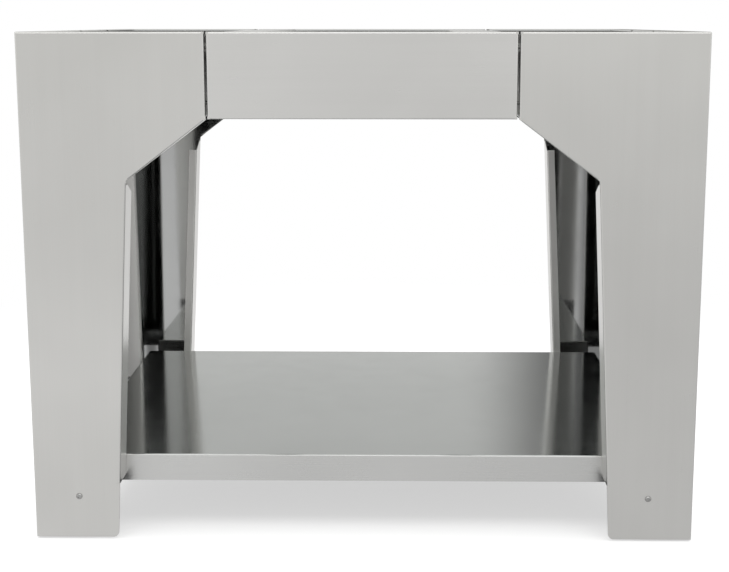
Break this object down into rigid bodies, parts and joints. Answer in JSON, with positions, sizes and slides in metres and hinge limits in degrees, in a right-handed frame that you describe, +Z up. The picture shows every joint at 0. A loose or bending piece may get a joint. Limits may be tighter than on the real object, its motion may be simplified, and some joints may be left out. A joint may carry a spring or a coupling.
{
  "type": "oven stand",
  "caption": "Free-standing oven stand in folded stainless sheet: tapered corner legs joined by a top band, open top with bearers, low shelf and levelling feet.",
  "frame": {"origin": "on the floor under the middle of the stand", "axes": "+Z up, +X along the width to the right as seen from the front, -Y towards the user"},
  "size_m": [1.0766, 0.8066, 0.82],
  "materials": {
    "stainless_leg": "satin brushed stainless, grain up the leg",
    "stainless_band": "satin brushed stainless, grain along the band",
    "stainless_shelf": "bright cold-rolled stainless with soft reflections",
    "stainless_inner": "mill finish stainless",
    "fastener_steel": "machined stainless",
    "pad_rubber": "matt black moulded rubber"
  },
  "bodies": {
    "frame": {"leg_front_left": "stainless_leg", "leg_front_right": "stainless_leg", "leg_rear_right": "stainless_leg", "leg_rear_left": "stainless_leg", "fascia_front": "stainless_band", "fascia_rear": "stainless_band", "fascia_right": "stainless_band", "fascia_left": "stainless_band", "bearer_left": "stainless_inner", "bearer_right": "stainless_inner", "shelf_stiffener_front": "stainless_inner", "shelf_stiffener_rear": "stainless_inner", "shelf_tray": "stainless_shelf", "foot_bracket_front_left": "stainless_inner", "foot_bracket_front_right": "stainless_inner", "foot_bracket_rear_right": "stainless_inner", "foot_bracket_rear_left": "stainless_inner", "band_bolts": "fastener_steel", "band_nuts": "fastener_steel", "band_spacers": "fastener_steel", "bearer_bolts": "fastener_steel", "bearer_nuts": "fastener_steel", "shelf_bolts": "fastener_steel", "shelf_nuts": "fastener_steel", "bracket_screws": "fastener_steel", "bracket_nuts": "fastener_steel", "foot_weld_nuts": "fastener_steel", "foot_lock_nuts": "fastener_steel"},
    "pad_front_left": {"foot_pad_front_left": "pad_rubber"},
    "stud_front_left": {"foot_stud_front_left": "fastener_steel"},
    "pad_front_right": {"foot_pad_front_right": "pad_rubber"},
    "stud_front_right": {"foot_stud_front_right": "fastener_steel"},
    "pad_rear_right": {"foot_pad_rear_right": "pad_rubber"},
    "stud_rear_right": {"foot_stud_rear_right": "fastener_steel"},
    "pad_rear_left": {"foot_pad_rear_left": "pad_rubber"},
    "stud_rear_left": {"foot_stud_rear_left": "fastener_steel"}
  },
  "joints": [
    {"name": "foot_extend_front_left", "type": "slide", "parent": "frame", "child": "pad_front_left", "axis": [0, 0, -1], "range_m": [0, 0.015]},
    {"name": "foot_turn_front_left", "type": "hinge", "parent": "pad_front_left", "child": "stud_front_left", "pos_m": [-0.4625, -0.3275, 0.02], "axis": [0, 0, -1], "range_deg": [0, 3600]},
    {"name": "foot_extend_front_right", "type": "slide", "parent": "frame", "child": "pad_front_right", "axis": [0, 0, -1], "range_m": [0, 0.015]},
    {"name": "foot_turn_front_right", "type": "hinge", "parent": "pad_front_right", "child": "stud_front_right", "pos_m": [0.4625, -0.3275, 0.02], "axis": [0, 0, -1], "range_deg": [0, 3600]},
    {"name": "foot_extend_rear_right", "type": "slide", "parent": "frame", "child": "pad_rear_right", "axis": [0, 0, -1], "range_m": [0, 0.015]},
    {"name": "foot_turn_rear_right", "type": "hinge", "parent": "pad_rear_right", "child": "stud_rear_right", "pos_m": [0.4625, 0.3275, 0.02], "axis": [0, 0, -1], "range_deg": [0, 3600]},
    {"name": "foot_extend_rear_left", "type": "slide", "parent": "frame", "child": "pad_rear_left", "axis": [0, 0, -1], "range_m": [0, 0.015]},
    {"name": "foot_turn_rear_left", "type": "hinge", "parent": "pad_rear_left", "child": "stud_rear_left", "pos_m": [-0.4625, 0.3275, 0.02], "axis": [0, 0, -1], "range_deg": [0, 3600]}
  ],
  "couplings": [
    {"joint": "foot_turn_front_left", "follows": "foot_extend_front_left", "rad_per_m": 4188.8},
    {"joint": "foot_turn_front_right", "follows": "foot_extend_front_right", "rad_per_m": 4188.8},
    {"joint": "foot_turn_rear_right", "follows": "foot_extend_rear_right", "rad_per_m": 4188.8},
    {"joint": "foot_turn_rear_left", "follows": "foot_extend_rear_left", "rad_per_m": 4188.8}
  ]
}
